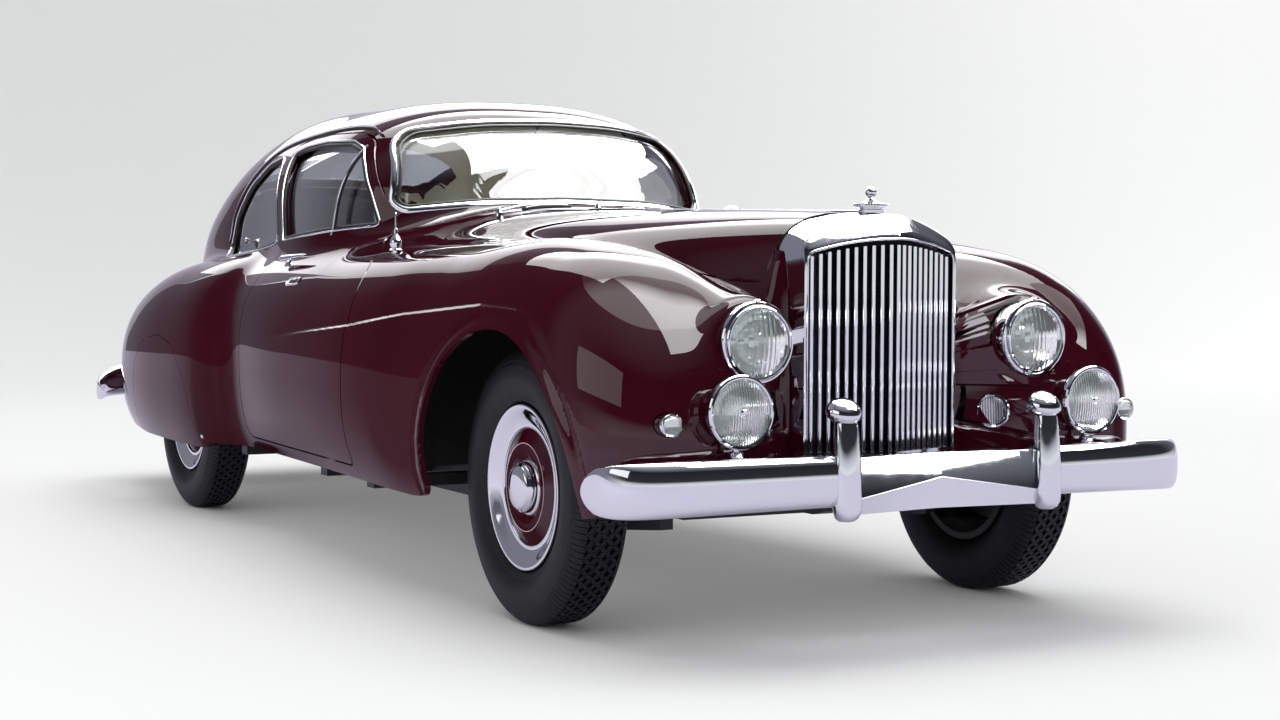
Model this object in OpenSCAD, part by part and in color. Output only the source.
// Two-door fastback grand touring coupe of the 1950s, on a separate chassis.
// Millimetres. X points forward, Y to the car's left, Z up. The origin is on the ground,
// midway between the front and rear bumpers.

/* [Chassis] */
// Distance between the axles
wheelbase = 3048; // [2900:4:3200]
// Reach of the bumper ahead of the front axle
front_overhang = 870; // [840:5:920]
// Reach of the bumper behind the rear axle
rear_overhang = 1327; // [1290:5:1400]
// Distance between the front tyres' centres
front_track = 1435; // [1415:5:1445]
// Distance between the rear tyres' centres
rear_track = 1450; // [1420:5:1460]
// Width of a chassis side rail
rail_w = 70; // [50:2:90]
// Depth of a chassis side rail
rail_h = 110; // [80:2:120]
// Height of the rails' underside between the axles
rail_z = 205; // [195:5:230]
// Distance between the rails' centres
rail_gap = 720; // [680:10:740]

/* [Wheels] */
// Radius of the tyre
tyre_r = 368; // [355:1:372]
// Width of the tyre at its widest
tyre_w = 172; // [150:2:180]
// Radius of the tyre's bead seat
bead_r = 205; // [195:1:215]
// Radius of the axle spindle that carries a hub
spindle_r = 22; // [18:1:26]
// Distance from a front tyre's centre to its steering axis
king_offset = 100; // [92:1:108]

/* [Body] */
// Width over the body
body_w = 1812; // [1780:4:1840]
// Height of the roof
roof_h = 1530; // [1500:5:1560]
// Height of the bonnet at the middle
bonnet_h = 1122; // [1110:2:1140]
// Thickness of the doors
door_t = 46; // [36:2:56]
// Thickness of the fixed body walls
wall_t = 30; // [24:2:36]
// Thickness of the wings and bonnet with their stiffening edges
panel_t = 16; // [12:1:20]
// Gap round a moving panel
gap = 6; // [5:0.5:8]
// Height of the doors' lower edge
door_z = 340; // [330:5:360]
// Height of the sill's lower edge
sill_z = 292; // [280:4:310]
// Thickness of the window glass
glass_t = 6; // [4:1:8]
// Radius of the front wheel arch
arch_r = 455; // [440:5:460]

/* [Front] */
// Width of the radiator shell
shell_w = 520; // [500:4:540]
// How much each side of the radiator shell draws in towards its front
shell_taper = 22; // [0:2:30]
// Height of the radiator shell's peak
shell_h = 1102; // [1094:2:1116]
// Height of the radiator shell's foot
shell_z = 448; // [440:4:470]
// How far the grille's middle stands ahead of its sides
grille_vee = 80; // [60:2:90]
// Width of a grille slat
slat_w = 11; // [8:1:13]
// Number of grille slats on each side
slats = 10; // [8:1:12]
// Radius of a headlamp's rim
headlamp_r = 104; // [96:1:108]
// Radius of a fog lamp's rim
fog_r = 92; // [84:1:96]
// Height of the headlamps
headlamp_z = 771; // [760:2:785]
// Distance between the headlamps
headlamp_gap = 860; // [850:2:880]
// Height of the fog lamps
fog_z = 608; // [600:2:612]
// Distance between the fog lamps
fog_gap = 1080; // [1064:4:1090]

/* [Bumpers] */
// Height of the bumper bars' centre at their ends
bumper_z = 416; // [410:1:424]
// Height of a bumper bar at its ends
bumper_h = 152; // [130:2:160]
// How much lower a bumper bar's top and higher its foot are near the middle
bumper_slim = 13; // [6:1:20]
// Width over the bumpers
bumper_w = 1770; // [1740:5:1800]
// Distance between the overriders
overrider_gap = 610; // [560:10:660]

/* [Hidden] */

maroon = [0.20, 0.03, 0.07];
chrome = [0.82, 0.83, 0.85];
black = [0.06, 0.06, 0.07];
clear = [0.75, 0.82, 0.84, 0.5];
hide = [0.55, 0.38, 0.24];

half_l = (wheelbase + front_overhang + rear_overhang) / 2;
front_x = half_l - front_overhang;
rear_x = front_x - wheelbase;
mid_x = (front_x + rear_x) / 2;
half_w = body_w / 2;
seat_gap = 0.3; // between pieces that are fastened to each other
nose_x = front_x + 612; // the grille's foremost line
axle_z = tyre_r;
eps = 0.01;

// One of a pair: side is 1 for the left and -1 for the right.
module on_side(side) { scale([1, side, 1]) children(); }
module both_sides() { children(); mirror([0, 1, 0]) children(); }

// A body panel is one mesh of flat facets with no bores in it.
module pressed() { resize([0, 0, 0]) children(); }

// Stretches a side-view outline across the car, and a plan outline upwards.
module across(width = 2400) { rotate([90, 0, 0]) linear_extrude(width, center = true) children(); }
module upwards(z0, z1) { translate([0, 0, z0]) linear_extrude(z1 - z0) children(); }
module lengthways(x0, x1) {
    translate([x0, 0, 0]) rotate([90, 0, 90]) linear_extrude(x1 - x0) children();
}
module spun_across() { rotate([-90, 0, 0]) rotate_extrude($fn = 72) children(); }
module facing_forward() { rotate([0, 90, 0]) rotate_extrude($fn = 64) children(); }

// Body form: five rounded volumes that flow into each other.
// Each is a row of rounded sections with the columns
// [x, centre y, top z, bottom z, half width, squareness].
TUB = [
    [rear_x - 1265, 0, 700, 330, half_w - 388, 2.6],
    [rear_x - 905, 0, 860, 260, half_w - 268, 3.0],
    [rear_x - 405, 0, 985, 190, half_w - 178, 3.2],
    [rear_x + 95, 0, 1010, 150, half_w - 118, 3.4],
    [mid_x - 728, 0, 1030, 150, half_w - 70, 3.6],
    [mid_x - 128, 0, 1045, 150, half_w - 46, 3.4],
    [mid_x + 472, 0, 1050, 150, half_w - 38, 3.2],
    [front_x - 452, 0, 1000, 150, half_w - 48, 3.0]];
WING = [
    [mid_x - 928, 560, 900, 330, 260, 2.2],
    [mid_x - 228, half_w - 346, 960, 250, 300, 2.3],
    [mid_x + 472, half_w - 346, 1000, 180, 335, 2.4],
    [front_x - 502, half_w - 333, 1025, 120, 333, 2.4],
    [front_x - 52, half_w - 328, 1030, 100, 328, 2.4],
    [front_x + 298, half_w - 328, 985, 100, 318, 2.4],
    [front_x + 668, half_w - 322, 900, 120, 296, 2.4]];
BONNET = [
    [front_x - 1552, 0, bonnet_h + 3, 500, 640, 2.6],
    [front_x - 1052, 0, bonnet_h + 6, 500, 560, 2.6],
    [front_x - 452, 0, bonnet_h, 500, 440, 2.7],
    [front_x + 148, 0, bonnet_h - 10, 460, 340, 3.0],
    [front_x + 578, 0, bonnet_h - 27, 440, 262, 3.6]];
CABIN = [
    [rear_x - 1204, 0, roof_h - 490, 500, half_w - 429, 3.1],
    [rear_x - 904, 0, roof_h - 365, 500, half_w - 398, 3.1],
    [rear_x - 604, 0, roof_h - 244, 520, half_w - 368, 3.1],
    [rear_x - 204, 0, roof_h - 107, 560, half_w - 334, 3.1],
    [rear_x + 296, 0, roof_h - 6, 600, half_w - 303, 2.95],
    [mid_x - 728, 0, roof_h - 1, 600, half_w - 237, 2.7],
    [mid_x - 228, 0, roof_h + 19, 600, half_w - 170, 2.53],
    [mid_x + 222, 0, roof_h + 45, 600, half_w - 102, 2.46]];
HAUNCH = [
    [rear_x - 1265, 560, 640, 330, 200, 2.2],
    [rear_x - 905, half_w - 321, 800, 200, 250, 2.3],
    [rear_x - 505, half_w - 306, 905, 130, 285, 2.4],
    [rear_x - 5, half_w - 298, 948, 110, 296, 2.5],
    [rear_x + 495, half_w - 306, 925, 130, 292, 2.5],
    [rear_x + 795, half_w - 321, 800, 200, 270, 2.4]];
APRON = [
    [front_x - 252, 0, 900, 100, 560, 3.0],
    [front_x + 348, 0, 880, 120, 560, 3.2],
    [front_x + 648, 0, 850, 150, 560, 3.2]];
POD = [
    [front_x + 48, headlamp_gap / 2, headlamp_z + 60, headlamp_z - 60, 60, 2],
    [front_x + 348, headlamp_gap / 2, headlamp_z + 112, headlamp_z - 112, 112, 2],
    [front_x + 648, headlamp_gap / 2, headlamp_z + 116, headlamp_z - 116, 116, 2]];
// Each volume: [sections, nose starts at x, nose ends, tail starts, tail ends, roundness of the ends]
VOLUMES = [
    [TUB, mid_x + 672, mid_x + 1272, rear_x - 705, rear_x - 1214, 2.4],
    [WING, front_x + 148, front_x + 664, mid_x - 128, mid_x - 1028, 2.6],
    [BONNET, front_x + 538, front_x + 600, front_x - 1452, front_x - 1752, 4],
    [CABIN, mid_x - 1013, mid_x + 200, rear_x - 264, rear_x - 1128, 3.5],
    [HAUNCH, rear_x + 395, rear_x + 825, rear_x - 605, rear_x - 1224, 2.2],
    [APRON, front_x + 348, front_x + 596, front_x - 152, front_x - 652, 3],
    [POD, front_x + 540, front_x + 596, front_x + 148, front_x - 152, 4]];
blend_r = 25; // how softly the volumes flow together
spine_z = 640; // rays to the skin start from this height
spine_back = rear_x - 755;
spine_front = front_x + 148;

function row_of(t, x, i = 0) = i >= len(t) - 2 || x < t[i + 1][0] ? i : row_of(t, x, i + 1);
function rise(t, i, k) = (t[i + 1][k] - t[i][k]) / (t[i + 1][0] - t[i][0]);
function slope(t, i, k) =
    i == 0 ? rise(t, 0, k) : i == len(t) - 1 ? rise(t, i - 1, k)
    : let (before = t[i][0] - t[i - 1][0], after = t[i + 1][0] - t[i][0])
        (rise(t, i - 1, k) * after + rise(t, i, k) * before) / (before + after);
function clamp(v, low, high) = min(high, max(low, v));
// A smooth value of column k at x, by cubic pieces through the rows
function section_at(t, x, k) = let (
    q = clamp(x, t[0][0], t[len(t) - 1][0]), i = row_of(t, q), h = t[i + 1][0] - t[i][0],
    s = (q - t[i][0]) / h, s2 = s * s, s3 = s2 * s)
    (2 * s3 - 3 * s2 + 1) * t[i][k] + (s3 - 2 * s2 + s) * h * slope(t, i, k)
    + (3 * s2 - 2 * s3) * t[i + 1][k] + (s3 - s2) * h * slope(t, i + 1, k);
// The sections at one x: [centre y, centre z, half width, half height, squareness, end power, end term]
function sections(x) = [for (v = VOLUMES) let (
    top = section_at(v[0], x, 2), bottom = section_at(v[0], x, 3), m = v[5],
    ahead = max(0, (x - v[1]) / (v[2] - v[1])), behind = max(0, (v[3] - x) / (v[3] - v[4])))
    if (ahead < 1.6 && behind < 1.6)
    [section_at(v[0], x, 1), (top + bottom) / 2, section_at(v[0], x, 4), (top - bottom) / 2,
        section_at(v[0], x, 5), m, pow(ahead, m) + pow(behind, m)]];
function depth_in(s, y, z) =
    (pow(pow(pow(abs(abs(y) - s[0]) / s[2], s[4]) + pow(abs(z - s[1]) / s[3], s[4]) + 1e-9,
        s[5] / s[4]) + s[6], 1 / s[5]) - 1) * min(s[2], s[3]);
// Below 0 inside the body, above 0 outside, nearly a distance
function field(list, y, z) = let (
    d = [for (s = list) depth_in(s, y, z)], low = min(d),
    near = [for (v = d) exp(-min(50, (v - low) / blend_r))])
    low - blend_r * ln(near * [for (v = near) 1]);
// How far along a ray the skin lies: first by halving, and then by one straight-line step
function reach(origin, ray, inset, list, low, high, steps) =
    let (mid = (low + high) / 2, at = origin + ray * mid,
        f = field(is_undef(list) ? sections(at[0]) : list, at[1], at[2]) + inset)
    steps == 0 ? mid
    : f < 0 ? reach(origin, ray, inset, list, mid, high, steps - 1)
    : reach(origin, ray, inset, list, low, mid, steps - 1);
// A ring of the skin. Turn is 90 for a flat ring across the car, and falls to 0 at an end's pole.
function ring(x, way, turn, inset, around) =
    let (list = turn == 90 ? sections(x) : undef,
        half = [for (j = [0 : around / 2]) let (a = -90 + 360 * j / around,
            ray = [way * cos(turn), sin(turn) * cos(a), sin(turn) * sin(a)],
            origin = [x, 0, spine_z])
            origin + ray * reach(origin, ray, inset, list, 1, 1300, 15)])
    [each half, for (j = [around / 2 - 1 : -1 : 1]) [half[j][0], -half[j][1], half[j][2]]];
// The body's skin as a closed solid, set inwards by inset
STATIONS = [spine_back, for (d = [-600, -450, -300, -150, 0, 150, 300, 450, 580, 700]) rear_x + d,
    for (d = [-560, -400, -240, -110, -20, 60, 130, 185, 235, 285, 345, 425, 540]) mid_x + d,
    for (d = [-850, -700, -550, -400, -250, -110, 10]) front_x + d, spine_front];
module skin(inset, ends, around) {
    rings = [for (k = [1 : ends]) ring(spine_back, -1, 90 * k / (ends + 1), inset, around),
        for (x = STATIONS) ring(x, 1, 90, inset, around),
        for (k = [ends : -1 : 1]) ring(spine_front, 1, 90 * k / (ends + 1), inset, around)];
    tail = [spine_back - reach([spine_back, 0, spine_z], [-1, 0, 0], inset, undef, 1, 1300, 15), 0, spine_z];
    nose = [spine_front + reach([spine_front, 0, spine_z], [1, 0, 0], inset, undef, 1, 1300, 15), 0, spine_z];
    count = len(rings);
    points = [each [for (r = rings) each r], tail, nose];
    polyhedron(points, [
        for (i = [0 : count - 2], j = [0 : around - 1]) let (
            a = i * around + j, b = i * around + (j + 1) % around, c = b + around, d = a + around)
            each [[a, c, b], [a, d, c]],
        for (j = [0 : around - 1]) [count * around, j, (j + 1) % around],
        for (j = [0 : around - 1]) [count * around + 1,
            (count - 1) * around + (j + 1) % around, (count - 1) * around + j]]);
}
// A point on the skin, from a point inside along a ray
function on_skin(origin, ray) = origin + ray * reach(origin, ray, 0, undef, 0, 1300, 15);
function top_at(x, y) = on_skin([x, y, spine_z], [0, 0, 1])[2];
module shell(thick) { difference() { skin(0, 7, 44); skin(thick, 4, 28); } }

// Outlines, in the side view as [x, z] and in plan as [x, y]
function rounded(points, r, steps = 4) = let (n = len(points)) [for (i = [0 : n - 1]) let (
    p = points[i], to_last = points[(i + n - 1) % n] - p, to_next = points[(i + 1) % n] - p,
    k = min(r, 0.45 * norm(to_last), 0.45 * norm(to_next)),
    a = p + to_last * k / norm(to_last), b = p + to_next * k / norm(to_next))
    for (s = [0 : steps]) let (u = s / steps) (1 - u) * (1 - u) * a + 2 * u * (1 - u) * p + u * u * b];

door_front = mid_x + 484;
door_back = mid_x - 696;
door_outline = [[door_back, door_z], [door_front, door_z], [door_front - 4, 790], [door_front - 16, 870],
    [door_front - 66, 935], [door_front - 190, 985], [door_front - 370, 1024], [door_front - 425, 1102],
    [door_front - 505, 1195], [door_front - 620, 1288], [door_front - 735, 1364], [door_front - 830, 1396],
    [door_front - 1020, 1404], [door_front - 1240, 1396], [door_front - 1405, 1376],
    [door_back - 60, 1080], [door_back - 2, 1010]];
window_outline = [[door_back - 16, 1056], [door_back + 300, 1072], [door_front - 458, 1098],
    [door_front - 545, 1186], [door_front - 655, 1272], [door_front - 765, 1340], [door_front - 850, 1370],
    [door_front - 1020, 1380], [door_front - 1240, 1372], [door_front - 1355, 1354]];
quarter_outline = [[rear_x + 712, 1045], [rear_x + 540, 1350], [rear_x + 335, 1328],
    [rear_x + 120, 1250], [rear_x - 40, 1130], [rear_x - 88, 1030], [rear_x - 20, 990], [rear_x + 300, 1010]];
spat_outline = [[rear_x + 430, 262], [rear_x + 330, 500], [rear_x + 160, 640], [rear_x - 60, 675],
    [rear_x - 290, 640], [rear_x - 430, 540], [rear_x - 470, 262]];
// Lower edge of the painted body, from the front valance to the tail
hem_outline = [[half_l, 395], [front_x + 420, 330], [front_x + arch_r, 300], [front_x - arch_r + 30, 366],
    [front_x - arch_r - 30, sill_z + 8], [front_x - arch_r - 120, sill_z], [rear_x + 500, sill_z], [rear_x + 420, 266], [rear_x - 330, 262], [rear_x - 700, 282], [rear_x - 1100, 350],
    [-half_l - 50, 420], [-half_l - 50, -50], [half_l, -50]];
bonnet_front = front_x + 430;
bonnet_plan = [[bonnet_front, -100], [bonnet_front, 282], [front_x + 148, 352], [front_x - 452, 452],
    [front_x - 952, 540], [front_x - 1060, 560], [front_x - 1110, 520], [front_x - 1150, 300], [front_x - 1160, 0], [front_x - 1160, -100]];
boot_top = rear_x - 640;
boot_plan = [[boot_top, 0], [boot_top - 10, 380], [boot_top - 60, 420], [boot_top - 800, 420],
    [boot_top - 800, -420], [boot_top - 60, -420], [boot_top - 10, -380]];
// The boot lid from behind, as [y, z]
boot_outline = [[0, 1500], [420, 1500], [420, 1100], [385, 800], [352, 590], [320, 560], [0, 556],
    [-320, 560], [-352, 590], [-385, 800], [-420, 1100], [-420, 1500]];
rear_window_plan = [[rear_x - 120, 0], [rear_x - 138, 330], [rear_x - 190, 430], [rear_x - 480, 385],
    [rear_x - 545, 300], [rear_x - 560, 0], [rear_x - 545, -300], [rear_x - 480, -385], [rear_x - 190, -430],
    [rear_x - 138, -330]];
// Windscreen opening, from the front as [y, z]
screen_half = [[300, 1158], [545, 1132], [572, 1160], [531, 1352], [470, 1402], [250, 1430]];
screen_outline = [[0, 1166], each screen_half, [0, 1438],
    for (i = [len(screen_half) - 1 : -1 : 0]) [-screen_half[i][0], screen_half[i][1]]];
// The doors lie outboard of this line in plan, as [x, y].
door_line = [[door_back - 300, 420], [mid_x - 328, 420], [mid_x - 228, 490], [mid_x - 128, 535], [mid_x - 28, 565],
    [mid_x + 72, 600], [mid_x + 192, 625], [door_front + 60, 625]];

module side_prism(outline, grow = 0, r = 40) { across() offset(delta = grow) polygon(rounded(outline, r)); }
module plan_prism(outline, grow = 0, r = 40) { upwards(500, 1700) offset(delta = grow) polygon(rounded(outline, r)); }
module screen_prism(grow = 0) { lengthways(mid_x - 228, mid_x + 372) offset(delta = grow) polygon(rounded(screen_outline, 60)); }
// Everything on one side of the car
module door_zone(grow = 0) {
    intersection() {
        side_prism(door_outline, grow);
        both_sides() upwards(0, 1700) polygon([each door_line, [door_front + 60, 1200], [door_back - 300, 1200]]);
    }
}
module boot_zone(grow = 0) {
    intersection() {
        plan_prism(boot_plan, grow);
        lengthways(-half_l - 100, boot_top + 100) offset(delta = grow) polygon(rounded(boot_outline, 60));
    }
}
module one_side(side) { translate([-half_l - 100, side > 0 ? 0 : -1200, -100]) cube([2 * half_l + 200, 1200, 1800]); }
module arch_cut(grow = 0) {
    across() {
        translate([front_x, 335]) circle(arch_r + grow, $fn = 72);
        translate([front_x - arch_r - grow, 0]) square([2 * (arch_r + grow), 335]);
    }
}
module rear_arch_cut() {
    across() {
        translate([rear_x, 300]) circle(430, $fn = 64);
        translate([rear_x - 430, 0]) square([860, 300]);
    }
}

joint_x = door_front + gap; // where the wings meet the scuttle
iron_w = 44;
iron_h = 56;
module iron_holes(x0, x1) {
    both_sides() translate([x0, (rail_gap - iron_w) / 2 - 5, bumper_z - iron_h / 2 - 5]) cube([x1 - x0, iron_w + 10, iron_h + 10]);
}
module lamp_holes() {
    both_sides() for (l = LAMPS) if (l[5] > 0) {
        translate([l[0] - l[4] - 20, l[1], l[2]]) rotate([0, 90, 0]) cylinder(r = l[3] * 0.95 + seat_gap, h = l[4] + 200, $fn = 64);
        translate([l[0] - 16 - seat_gap, l[1], l[2]]) rotate([0, 90, 0]) cylinder(r = l[3] + 2 * seat_gap, h = 200, $fn = 64);
    }
}
// Front wing: from the lamps to the door, over the wheel
module front_wing(side) {
    color(maroon) pressed() difference() {
        intersection() { shell(panel_t); one_side(side); translate([joint_x + seat_gap, -1000, 0]) cube([2000, 2000, 1100]); }
        side_prism(door_outline, gap);
        side_prism(hem_outline, 0, 60);
        both_sides() plan_prism(bonnet_plan, gap / 2, 30);
        arch_cut();
        lamp_holes();
        iron_holes(front_x + 400, half_l);
        translate([bonnet_front - 20, -shell_w / 2 - seat_gap, 0]) cube([400, shell_w + 2 * seat_gap, 1200]);
        translate([0, -eps, 0]) cube([3000, 2 * eps, 1200]);
    }
}

module bonnet_half(side) {
    color(maroon) pressed() on_side(side) difference() {
        intersection() { shell(panel_t); translate([0, 0, 250]) plan_prism(bonnet_plan, -gap / 2, 30); }
        translate([0, -1500, 0]) cube([3000, 1500 + gap / 2, 1400]);
    }
}

// Fixed body: scuttle, pillars, roof, rear wings and tail
module body_shell() {
    color(maroon) pressed() {
        body_walls();
        // rebate that the boot lid closes onto
        intersection() {
            difference() { skin(wall_t - 0.2, 4, 28); skin(wall_t + 12, 4, 28); }
            difference() { boot_zone(gap + 12); boot_zone(-18); }
        }
    }
}
module body_walls() {
    difference() {
        shell(wall_t);
        translate([joint_x, -1200, 0]) cube([3000, 2400, 1400]);
        door_zone(gap);
        side_prism(hem_outline, 0, 60);
        side_prism(quarter_outline);
        boot_zone(gap);
        translate([0, 0, 300]) plan_prism(rear_window_plan);
        screen_prism();
        both_sides() translate([0, 0, 250]) plan_prism(bonnet_plan, gap / 2, 30);
        side_prism(spat_outline, seat_gap);
        iron_holes(-half_l, rear_x - 800);
        both_sides() translate(tail_lamp) rotate([0, 90, 0]) cylinder(r = 38 + seat_gap, h = 200, center = true, $fn = 40);
        translate(aerial_foot - [0, 0, 80]) cylinder(r = 12 + seat_gap, h = 200, $fn = 24);
        for (w = WIPERS) translate(wiper_foot(w) - [0, 0, 60]) cylinder(r = spindle_cap_r + seat_gap, h = 120, $fn = 32);
        translate([rear_x - 1000, -400, 0]) cube([wheelbase + 1000, 800, 400]);
    }
}

module spats() {
    color(maroon) pressed() difference() {
        intersection() { shell(panel_t); side_prism(spat_outline); }
        side_prism(hem_outline, 0, 60);
        translate([-half_l, -500, 0]) cube([2 * half_l, 1000, 1400]);
    }
}

module door(side) {
    color(maroon) pressed() on_side(side) difference() {
        intersection() { shell(door_t); one_side(1); door_zone(); }
        side_prism(window_outline);
        if (side > 0) translate(mirror_foot - [0, 0, 60]) cylinder(r = 7 + seat_gap, h = 160, $fn = 24);
    }
}

module boot_lid() {
    color(maroon) pressed() intersection() { shell(wall_t - 0.5); boot_zone(); }
}

// Window glass lies just inside the skin.
module glass_layer(depth) { difference() { skin(depth, 5, 40); skin(depth + glass_t, 5, 40); } }
module windscreen() { color(clear) pressed() intersection() { glass_layer(10); screen_prism(-seat_gap); } }
module rear_window() {
    color(clear) pressed() intersection() { glass_layer(10); translate([0, 0, 300]) plan_prism(rear_window_plan, -seat_gap); }
}
module quarter_glass() { color(clear) pressed() intersection() { glass_layer(10); side_prism(quarter_outline, -seat_gap); } }
module door_glass(side) {
    color(clear) pressed() intersection() { glass_layer(16); one_side(side); door_zone(); side_prism(window_outline, -seat_gap); }
}

// Radiator shell: upright case with an arched top and a shallow vee at the front
shell_back = bonnet_front + gap / 2;
module vee_plan(front, half, vee) {
    polygon([[shell_back, -half], [front - vee, shell_taper - half], [front, 0],
        [front - vee, half - shell_taper], [shell_back, half]]);
}
module arch_outline(half, foot, crown, corner) {
    translate([-half, foot]) square([2 * half, (crown - foot) / 2]);
    offset(r = corner, $fn = 48) offset(delta = -corner) intersection() {
        translate([-half, foot]) square([2 * half, crown - foot]);
        translate([0, crown - 1.7 * half]) circle(1.7 * half, $fn = 96);
    }
}
cap_x = shell_back + 45;
module radiator_shell() {
    color(chrome) {
        difference() {
            intersection() {
                upwards(0, 1300) vee_plan(nose_x, shell_w / 2, grille_vee);
                lengthways(shell_back - 10, nose_x + 10) arch_outline(shell_w / 2, shell_z, shell_h, 60);
            }
            lengthways(shell_back + 60, nose_x + 10)
                arch_outline(shell_w / 2 - 34, shell_z + 34, shell_h - 74, 40);
        }
        translate([cap_x, 0, shell_h - 6]) cylinder(r = 34, h = 16, $fn = 64);
        translate([cap_x, 0, shell_h + 10]) cylinder(r = 44, h = 14, $fn = 64);
        translate([cap_x, 0, shell_h + 24]) cylinder(r1 = 26, r2 = 9, h = 22, $fn = 64);
        translate([cap_x, 0, shell_h + 52]) sphere(15, $fn = 48);
        // strip that both halves of the bonnet hinge on
        across(gap - 2 * seat_gap) polygon([[shell_back + 5, shell_h - 40], [shell_back + 5, hinge_z(shell_back + 5) - 1],
            [front_x - 1160, hinge_z(front_x - 1160) - 1], [front_x - 1160, bonnet_h - 40]]);
    }
}
function hinge_z(x) = bonnet_h + 18 - (x - front_x + 1152) * 0.0191;

slat_pitch = (shell_w / 2 - 38) / slats;
// Grille: a row of upright slats standing on a dark core
grille_back = shell_back + 60 + seat_gap;
module grille() {
    color(chrome) {
        translate([grille_back, -shell_w / 2 + 40, shell_z + 38]) cube([10, shell_w - 80, shell_h - shell_z - 196]);
        for (side = [-1, 1], i = [0 : slats - 1]) {
            y = slat_pitch * (i + 0.5);
            front = nose_x - 16 - slat_w / 2 - grille_vee * (y + slat_w / 2) / (shell_w / 2 - shell_taper);
            top = shell_h - 84 - pow((y + slat_w / 2) / (shell_w / 2), 2) * 92;
            translate([grille_back + 5, side * y, shell_z + 34 + seat_gap]) {
                translate([0, -slat_w / 2, 0]) cube([front - grille_back - 5, slat_w, top - shell_z - 36]);
                translate([front - grille_back - 5, 0, 0]) cylinder(r = slat_w / 2, h = top - shell_z - 36, $fn = 24);
            }
        }
    }
}

// Lamps: each is a revolved bowl behind a chrome rim, with a domed lens.
// [x of the rim's face, y, z, rim radius, bowl length, 1 if the bowl is let into the wing]
LAMPS = [[front_x + 632, headlamp_gap / 2, headlamp_z, headlamp_r, 112, 1],
    [front_x + 733, fog_gap / 2, fog_z, fog_r, 62, 0],
    [on_skin([spine_front, half_w - 206, 577], [1, 0, 0])[0] + 34, half_w - 206, 577, 30, 96, 1]];
module lamp_shell(l) {
    translate([l[0], l[1], l[2]]) facing_forward() difference() {
        polygon([[0, -l[4]], [l[3] * 0.5, -l[4]], [l[3] * 0.84, -l[4] * 0.82], [l[3] * 0.95, -l[4] * 0.58],
            [l[3] * 0.95, -16], [l[3], -14], [l[3], -4], [l[3] - 4, 0], [0, 0]]);
        translate([-eps, -20]) square([l[3] * 0.86, 30]);
    }
}
fog_post_x = front_x + 706;
iron_out = (rail_gap + iron_w) / 2 + seat_gap;
module lamp_shells() {
    color(chrome) both_sides() {
        for (l = LAMPS) lamp_shell(l);
        // each fog lamp stands on a bracket from the bumper iron
        translate([fog_post_x, fog_gap / 2, bumper_z]) cylinder(r = 10, h = fog_z - fog_r - bumper_z + 8, $fn = 32);
        translate([fog_post_x - 10, iron_out, bumper_z - 8]) cube([20, fog_gap / 2 + 8 - iron_out, 16]);
    }
}
module lamp_lenses() {
    color(clear) both_sides() for (l = LAMPS) translate([l[0], l[1], l[2]])
        facing_forward() intersection() {
            translate([0, -20 + seat_gap]) square([l[3] * 0.86 - seat_gap, 34]);
            translate([0, 12 - l[3] * 2]) circle(l[3] * 2, $fn = 96);
        }
}
tail_lamp = [on_skin([rear_x - 755, half_w - 330, 560], [-1, 0, 0])[0], half_w - 330, 560];
module tail_lamps() {
    color([0.5, 0.03, 0.03]) both_sides() translate(tail_lamp)
        rotate([0, -90, 0]) rotate_extrude($fn = 48) polygon([[0, -40], [38, -40], [38, 20], [30, 36], [0, 44]]);
}

// A closed tube swept along stations of [x, y, z, half depth, half height, heading]
function blade(k, n, flat) = let (a = 360 * k / n) [cos(a), sin(a)];
module swept(stations, sides = 14, power = 1) {
    rings = [for (s = stations) [for (k = [0 : sides - 1]) let (a = 360 * k / sides,
        c = sign(cos(a)) * pow(abs(cos(a)), power), d = sign(sin(a)) * pow(abs(sin(a)), power))
        [s[0] + s[3] * c * cos(s[5]), s[1] + s[3] * c * sin(s[5]), s[2] + s[4] * d]]];
    count = len(stations);
    polyhedron([each [for (r = rings) each r]], [
        [for (k = [sides - 1 : -1 : 0]) k],
        for (i = [0 : count - 2], k = [0 : sides - 1]) let (
            a = i * sides + k, b = i * sides + (k + 1) % sides)
            each [[a, b, b + sides], [a, b + sides, a + sides]],
        [for (k = [0 : sides - 1]) (count - 1) * sides + k]]);
}
// A bumper bar: a shallow arc across the car whose ends turn back and taper
bumper_t = 34;
module bumper_bar(reach, sweep, wrap, first = -10) {
    stations = [for (k = [first : 10]) let (
        t = k / 10, y = sin(90 * t) * bumper_w / 2 * 0.995,
        back = sweep * t * t + wrap * pow(abs(t), 9),
        taper = pow(1 - pow(abs(t), 8) * 0.8, 0.5), slim = bumper_slim * (1 - t * t))
        [reach - back, y, bumper_z + 2 * slim, bumper_t * taper, (bumper_h / 2 - slim) * taper, 0]];
    swept(stations, 12, 0.8);
}
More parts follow.
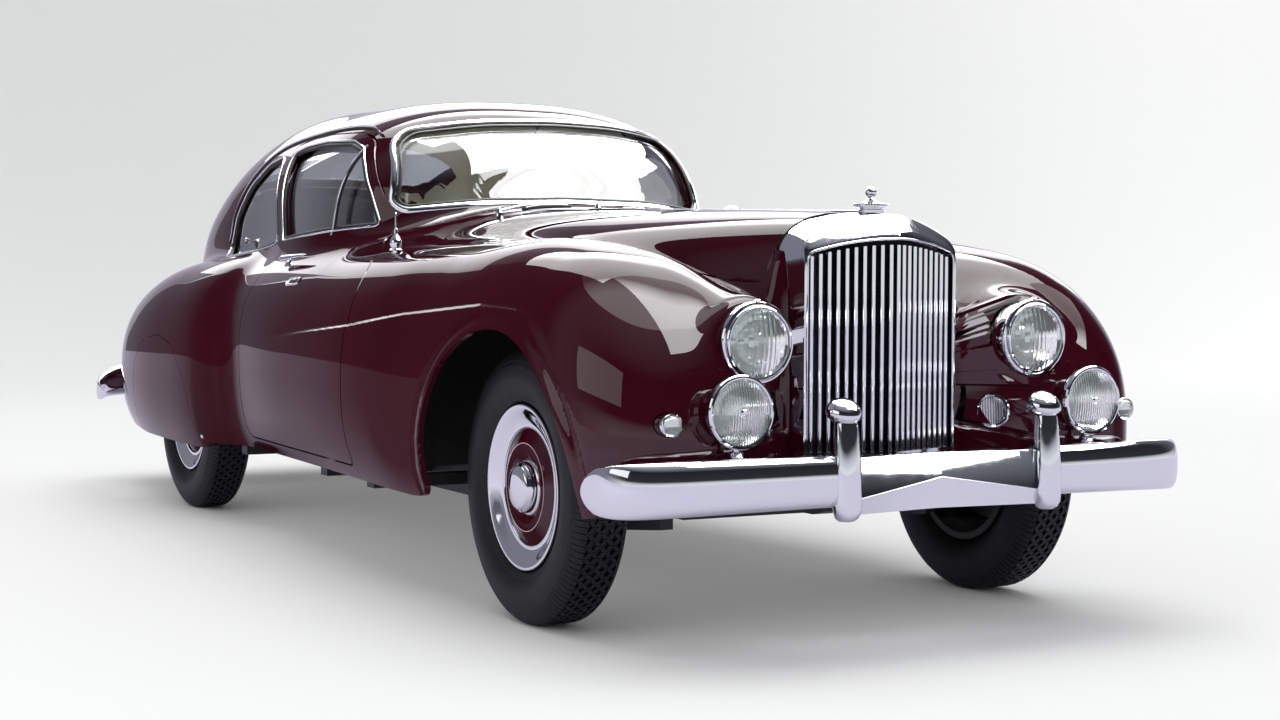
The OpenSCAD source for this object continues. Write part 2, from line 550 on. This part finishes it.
// Apron between the overriders, with a crease that drops towards them
module apron_section(y, nose, crease) {
    back = half_l - 124;
    translate([0, y, 0]) across(1) polygon([[back, bumper_z + 78], [nose, bumper_z + crease],
        [nose - 14, bumper_z - 60], [back, bumper_z - 60]]);
}
module apron() {
    both_sides() hull() {
        apron_section(0, half_l - 60, 42);
        apron_section(overrider_gap / 2 - 20, half_l - 26, -22);
    }
}
module overrider(reach) {
    hull() {
        translate([reach - 34, overrider_gap / 2, bumper_z - 40]) sphere(34, $fn = 10);
        translate([reach - 40, overrider_gap / 2, bumper_z + 158]) sphere(28, $fn = 10);
    }
    translate([reach - 50, overrider_gap / 2, bumper_z + 188]) scale([1.25, 1.05, 1]) sphere(40, $fn = 12);
}
module front_bumper() {
    color(chrome) pressed() {
        both_sides() bumper_bar(half_l - 42, 185, 95, 2);
        both_sides() overrider(half_l);
        apron();
        both_sides() translate([rail_end_front + seat_gap, (rail_gap - iron_w) / 2, bumper_z - iron_h / 2]) cube([half_l - 70 - rail_end_front, iron_w, iron_h]);
    }
}
module rear_bumper() {
    color(chrome) pressed() mirror([1, 0, 0]) {
        bumper_bar(half_l - 42, 150, 240);
        both_sides() overrider(half_l);
        both_sides() translate([-rail_end_back + seat_gap, (rail_gap - iron_w) / 2, bumper_z - iron_h / 2]) cube([half_l - 70 + rail_end_back, iron_w, iron_h]);
    }
}

// Chassis: two box rails that rise over the axles, with cross members
rail_end_front = front_x + 540;
rail_end_back = rear_x - 940;
rail_profile = [[rail_end_front, 345], [front_x + 200, 330], [front_x - 300, rail_z], [rear_x + 600, rail_z],
    [rear_x + 250, 420], [rear_x - 250, 420], [rear_x - 500, 350], [rail_end_back, 350]];
module rail() {
    n = len(rail_profile);
    across(rail_w) polygon([each rail_profile, for (i = [n - 1 : -1 : 0]) rail_profile[i] + [0, rail_h]]);
}
rail_out = (rail_gap + rail_w) / 2 + seat_gap; // outer face of a rail, with the clearance of what bolts to it
rail_in = (rail_gap - rail_w) / 2 - seat_gap; // inner face of a rail, likewise
// Cross members: [x, height of its underside]
CROSS = [[front_x + 490, 356], [front_x - 360, rail_z + 50], [mid_x - 60, rail_z + 50], [rear_x + 640, rail_z + 50], [rear_x - 900, 360]];
module chassis() {
    color(black) {
        both_sides() translate([0, rail_gap / 2, 0]) rail();
        for (c = CROSS) translate([c[0] - 35, -rail_in, c[1]]) cube([70, 2 * rail_in, rail_h - 52]);
        // outriggers that carry the sills
        both_sides() for (x = [door_front - 120, mid_x - 60, rear_x + 620])
            translate([x - 30, rail_out, rail_z + 50]) cube([60, half_w - 140 - rail_out, sill_z - seat_gap - rail_z - 50]);
    }
}
beam_z = 336; // top of the front cross beam, which carries the engine
module engine() {
    color([0.2, 0.22, 0.22]) {
        translate([front_x - 640, -190, beam_z + seat_gap]) cube([860, 380, 410]);
        translate([front_x - 620, -110, beam_z + 400]) cube([820, 220, 190]);
        translate([front_x - 1000, -120, beam_z + seat_gap]) cube([370, 240, 260]);
    }
}
floor_z = sill_z + 30;
deck_z = 532;
board_t = 14; // thickness of the toe board and heel board
toe_x = door_front - 60;
heel_x = rear_x + 506;
housing_r = 412;
// Floor: a plate with a tunnel for the propeller shaft, then a toe board, and a deck over the rear axle
module floor_pan() {
    color(black) difference() {
        union() {
            floor_plate();
            toe_board();
            rear_deck();
        }
        both_sides() translate([0, rail_gap / 2, 0]) scale([1, (rail_w + 8) / rail_w, 1]) rail();
    }
}
module floor_plate() {
    x0 = heel_x + board_t + seat_gap;
    length = toe_x - seat_gap - x0;
    both_sides() translate([x0, 80, floor_z]) cube([length, 560, 16]);
    translate([x0, 0, floor_z]) lengthways(0, length) difference() {
        translate([-90, 0]) square([180, 130]);
        translate([-80, -1]) square([160, 121]);
    }
}
module toe_board() {
    difference() {
        translate([toe_x, -640, floor_z]) cube([board_t, 1280, 560]);
        translate([toe_x - 10, -80, floor_z - 1]) cube([board_t + 20, 160, 121]);
    }
    both_sides() translate([toe_x, 600, floor_z]) cube([44, 150, 530]);
}
module rear_deck() {
    difference() {
        translate([heel_x, -640, floor_z]) cube([board_t, 1280, deck_z + 16 - floor_z]);
        translate([heel_x - 10, -80, floor_z - 1]) cube([board_t + 20, 160, 121]);
    }
    translate([rear_x - 900, -560, deck_z]) cube([1410, 1120, 16]);
    // wheel housings
    both_sides() translate([rear_x, 0, 0]) rotate([90, 0, 0]) {
        translate([0, 0, -572]) linear_extrude(12) difference() {
            translate([0, axle_z]) circle(housing_r, $fn = 64);
            translate([-500, -400]) square([1000, 800]);
            translate([-90, 0]) square([180, 470]);
        }
        translate([0, 0, -790]) linear_extrude(225) difference() {
            translate([0, axle_z]) circle(housing_r, $fn = 64);
            translate([0, axle_z]) circle(housing_r - 12, $fn = 64);
            translate([-500, -400]) square([1000, 800]);
        }
    }
}

// Front suspension: cross member, wishbones and coil springs
module coil(turns, r, wire, h) {
    for (i = [0 : turns - 1]) translate([0, 0, h * (i + 0.5) / turns]) rotate_extrude($fn = 48)
        translate([r, 0]) circle(wire, $fn = 24);
    cylinder(r = r - wire / 2, h = h, $fn = 48);
}
king_y = front_track / 2 - king_offset;
king_low = axle_z - 92;
king_high = axle_z + 108;
module front_suspension() {
    color(black) {
        translate([front_x - 60, -rail_in, beam_z - 74]) cube([120, 2 * rail_in, 74]);
        both_sides() {
            for (dx = [-130, 110]) hull() {
                translate([front_x + dx, rail_out, king_low - 28]) cube([20, 40, 28]);
                translate([front_x - 10, king_y - 20, king_low - 28]) cube([20, 20, 28]);
            }
            translate([front_x - 130, rail_out, king_low - 28]) cube([260, 24, 120]);
            translate([front_x, king_y, king_low - 28]) cylinder(r = 24, h = 28, $fn = 48);
            translate([front_x, rail_out + 70, king_low - 10]) coil(6, 42, 8, 226);
            translate([front_x - 60, rail_out, king_high]) cube([120, 130, 24]);
            translate([front_x - 20, rail_out + 60, king_high]) cube([40, king_y - rail_out - 66, 24]);
            translate([front_x, king_y, king_high]) cylinder(r = 24, h = 24, $fn = 48);
            translate([front_x - 60, rail_out, 380]) cube([120, 16, king_high - 370]);
        }
    }
}
spring_y = rail_out + 40;
module rear_axle() {
    color(black) {
        translate([rear_x, 0, axle_z]) {
            sphere(115, $fn = 48);
            rotate([90, 0, 0]) cylinder(r = 40, h = rear_track - 170, center = true, $fn = 48);
            rotate([90, 0, 0]) cylinder(r = spindle_r, h = rear_track + 112, center = true, $fn = 48);
        }
        translate([rear_x + 90, 0, axle_z]) rotate([0, 90, 0]) cylinder(r = 34, h = wheelbase - 1100, $fn = 40);
        both_sides() translate([rear_x, spring_y, axle_z - 72]) {
            for (i = [0 : 4]) translate([-620 + i * 95, -25, -9 * i]) cube([1240 - i * 190, 50, 9.5]);
            translate([-50, -25, 0]) cube([100, 50, 50]);
            for (x = [-614, 600]) translate([x, -25, 0]) cube([14, 50, x < 0 ? 100 : 24]);
            for (x = [-614, 600]) translate([x, rail_out - spring_y, 0]) cube([14, spring_y + 25 - rail_out, 24]);
        }
    }
}
module exhaust() {
    color([0.35, 0.34, 0.33]) translate([0, -250, 225]) {
        translate([-half_l + 100, 0, 0]) rotate([0, 90, 0]) cylinder(r = 24, h = half_l + front_x - 750, $fn = 32);
        translate([mid_x - 620, 0, floor_z - seat_gap - 58 - 225]) rotate([0, 90, 0]) cylinder(r = 58, h = 520, $fn = 48);
        translate([front_x - 674, 0, -24]) cylinder(r = 24, h = 400, $fn = 32);
        translate([front_x - 674, 0, 352]) rotate([-90, 0, 0]) cylinder(r = 24, h = 59.7, $fn = 32);
    }
}
module fuel_tank() {
    color(black) translate([rear_x - 860, -310, 330]) cube([420, 620, deck_z - 330 - seat_gap]);
}

// Steering knuckle: a king post that carries the spindle and a steering arm
module knuckle(side) {
    color(black) on_side(side) translate([front_x, 0, 0]) {
        translate([0, king_y, king_low + seat_gap]) cylinder(r = 19, h = king_high - king_low - 2 * seat_gap, $fn = 40);
        translate([0, king_y, axle_z]) rotate([-90, 0, 0]) cylinder(r = 46, h = king_offset - 42, $fn = 48);
        translate([0, king_y, axle_z]) rotate([-90, 0, 0]) cylinder(r = spindle_r, h = king_offset + 56, $fn = 48);
        translate([-150, king_y - 10, axle_z - 70]) cube([150, 20, 20]);
    }
}

// Wheel: drop-centre rim, dished disc, hub cap and hub, revolved about the axle.
// Profile points are [radius, distance outboard of the tyre's centre].
rim_profile = [[bead_r + 15, -66], [bead_r + 17, -60], [bead_r + 2, -56], [bead_r - 4, -30], [bead_r - 20, -20],
    [bead_r - 20, 20], [bead_r - 4, 30], [bead_r + 2, 56], [bead_r + 17, 60], [bead_r + 15, 68],
    [bead_r - 10, 64], [bead_r - 34, 42], [bead_r - 70, 46], [bead_r - 84, 58], [bead_r - 118, 60],
    [bead_r - 130, 46], [68, 46], [66, 70], [56, 80], [30, 85], [0, 86], [0, 62], [44, 60], [44, 34],
    [bead_r - 40, 34], [bead_r - 28, 14], [bead_r - 28, -24], [bead_r - 10, -40], [bead_r - 4, -66]];
hub_in = 36; // how far the hub reaches inboard of the tyre's centre
module wheel_at(x, track, side) {
    color(maroon) translate([x, side * track / 2, axle_z]) on_side(side) {
        spun_across() polygon(rim_profile);
        spun_across() polygon([[spindle_r + 0.05, -hub_in], [48, -hub_in], [48, 50], [44, 61], [spindle_r + 0.05, 61]]);
    }
}
module tyre_at(x, track, side) {
    color(black) translate([x, side * track / 2, axle_z]) spun_across() difference() {
        polygon([[bead_r + 18, -56], [bead_r + 46, -76], [bead_r + 84, -tyre_w / 2], [tyre_r - 36, -tyre_w / 2 + 8],
            [tyre_r - 10, -tyre_w / 2 + 20], [tyre_r, -tyre_w / 2 + 36], [tyre_r, tyre_w / 2 - 36],
            [tyre_r - 10, tyre_w / 2 - 20], [tyre_r - 36, tyre_w / 2 - 8], [bead_r + 84, tyre_w / 2],
            [bead_r + 46, 76], [bead_r + 18, 56], [bead_r + 18, 50], [bead_r + 1, 50], [bead_r - 2.7, 34],
            [bead_r + 30, 40], [bead_r + 84, tyre_w / 2 - 14], [tyre_r - 36, tyre_w / 2 - 22],
            [tyre_r - 20, 0], [tyre_r - 36, -tyre_w / 2 + 22], [bead_r + 84, -tyre_w / 2 + 14], [bead_r + 30, -40],
            [bead_r - 2.7, -34], [bead_r + 1, -50], [bead_r + 18, -50]]);
    }
}

// Cabin
module cushion(size, r) {
    hull() for (x = [r, size[0] - r], y = [r, size[1] - r]) translate([x, y, 0]) cylinder(r = r, h = size[2], $fn = 16);
}
seat_z = floor_z + 16 + seat_gap;
module front_seats() {
    color(hide) pressed() both_sides() translate([mid_x - 560, 95, seat_z]) {
        translate([60, 0, 108]) cushion([500, 480, 130], 50);
        translate([60, 20, 0]) cube([440, 440, 110]);
        translate([30, 0, 160]) rotate([0, -14, 0]) cushion([110, 480, 540], 40);
    }
}
module rear_seat() {
    color(hide) pressed() translate([rear_x + 60, -480, deck_z + 16 + seat_gap]) {
        translate([0, 0, 0]) cushion([440, 960, 130], 40);
        translate([-20, 0, 40]) rotate([0, -22, 0]) cushion([110, 960, 440], 40);
    }
}
module dashboard() {
    color([0.35, 0.2, 0.1]) across(900) polygon([[mid_x + 122, 1052], [mid_x + 90, 1052], [mid_x + 70, 1040],
        [mid_x + 84, 930], [mid_x + 104, 930], [mid_x + 96, 1030], [mid_x + 122, 1038]]);
}
wheel_tilt = 62;
module steering_wheel() {
    centre = [mid_x - 60, -310, 950];
    column = (door_front - 60 - seat_gap - 20 * cos(wheel_tilt) - centre[0]) / sin(wheel_tilt);
    color(black) translate(centre) rotate([0, -wheel_tilt, 0]) {
        rotate_extrude($fn = 72) translate([200, 0]) circle(12, $fn = 24);
        translate([0, 0, -20]) cylinder(r = 42, h = 30, $fn = 48);
        for (a = [90, 210, 330]) rotate([0, 0, a]) translate([30, -9, -10]) cube([170, 18, 10]);
        translate([0, 0, -column]) cylinder(r = 20, h = column - 10, $fn = 40);
    }
}

// Outside fittings
// Each wiper: [pivot x, pivot y, tip x, tip y]
WIPERS = [[mid_x + 310, -300, mid_x + 268, -20], [mid_x + 310, 60, mid_x + 250, 340]];
spindle_cap_r = 12;
function wiper_foot(w) = [w[0], w[1], top_at(w[0], w[1])];
module wipers() {
    color(black) for (w = WIPERS) {
        foot = wiper_foot(w);
        translate(foot - [0, 0, 20]) cylinder(r = spindle_cap_r, h = 46, $fn = 32);
        hull() {
            translate([w[0] - 5, w[1], foot[2] + 12]) cube([10, 10, 8]);
            translate([w[2] - 5, w[3] - 10, top_at(w[2], w[3]) + 10]) cube([10, 10, 8]);
        }
    }
}
aerial_foot = [mid_x + 430, -half_w + 200, top_at(mid_x + 430, -half_w + 200)];
module aerial() {
    color(chrome) translate(aerial_foot) {
        translate([0, 0, -50]) cylinder(r = 12, h = 66, $fn = 40);
        translate([0, 0, 34]) sphere(20, $fn = 40);
        translate([0, 0, 34]) cylinder(r = 4, h = 90, $fn = 24);
    }
}
mirror_foot = [mid_x + 20, half_w - 170, top_at(mid_x + 20, half_w - 170)];
module door_mirror() {
    color(chrome) translate(mirror_foot) {
        translate([0, 0, -20]) cylinder(r = 7, h = 130, $fn = 32);
        translate([0, 14, 145]) rotate([0, 90, 0]) cylinder(r = 48, h = 26, center = true, $fn = 56);
    }
}

chassis();
engine();
floor_pan();
front_suspension();
rear_axle();
exhaust();
fuel_tank();
body_shell();
front_wing(1);  // front_wing_left
front_wing(-1);  // front_wing_right
spats();
bonnet_half(1);  // bonnet_left
bonnet_half(-1);  // bonnet_right
door(1);  // door_left
door(-1);  // door_right
boot_lid();
windscreen();
rear_window();
quarter_glass();
door_glass(1);  // door_glass_left
door_glass(-1);  // door_glass_right
radiator_shell();
grille();
lamp_shells();
lamp_lenses();
tail_lamps();
front_bumper();
rear_bumper();
wipers();
aerial();
door_mirror();
front_seats();
rear_seat();
dashboard();
steering_wheel();
knuckle(1);  // knuckle_left
knuckle(-1);  // knuckle_right
wheel_at(front_x, front_track, 1);  // wheel_front_left
wheel_at(front_x, front_track, -1);  // wheel_front_right
wheel_at(rear_x, rear_track, 1);  // wheel_rear_left
wheel_at(rear_x, rear_track, -1);  // wheel_rear_right
tyre_at(front_x, front_track, 1);  // tyre_front_left
tyre_at(front_x, front_track, -1);  // tyre_front_right
tyre_at(rear_x, rear_track, 1);  // tyre_rear_left
tyre_at(rear_x, rear_track, -1);  // tyre_rear_right
